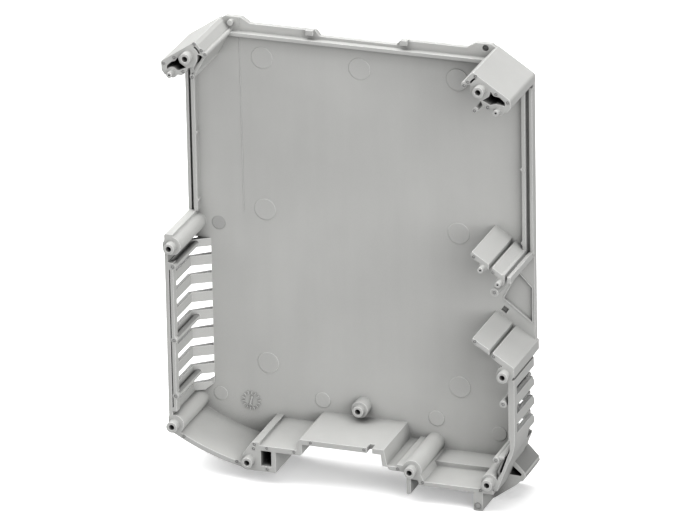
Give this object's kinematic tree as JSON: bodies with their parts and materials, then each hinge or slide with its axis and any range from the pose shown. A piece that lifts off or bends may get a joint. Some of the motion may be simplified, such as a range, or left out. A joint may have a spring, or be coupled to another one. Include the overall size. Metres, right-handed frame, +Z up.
{
  "type": "injection moulded plastic housing",
  "caption": "Open half of a moulded enclosure for a mounting rail: flat side plate with louvred side walls, hollow spigots, hollow corner blocks and a stepped rail foot.",
  "frame": {"origin": "middle of the rail seat, on the outer face of the plate", "axes": "+Z up from the rail, +Y out of the back of the plate, so the open side looks along -Y; X runs across the rail slot"},
  "size_m": [0.094, 0.0225, 0.1197],
  "materials": {
    "shell_plastic": "fine textured, matt"
  },
  "bodies": {
    "root": {"housing_shell": "shell_plastic"}
  },
  "joints": []
}
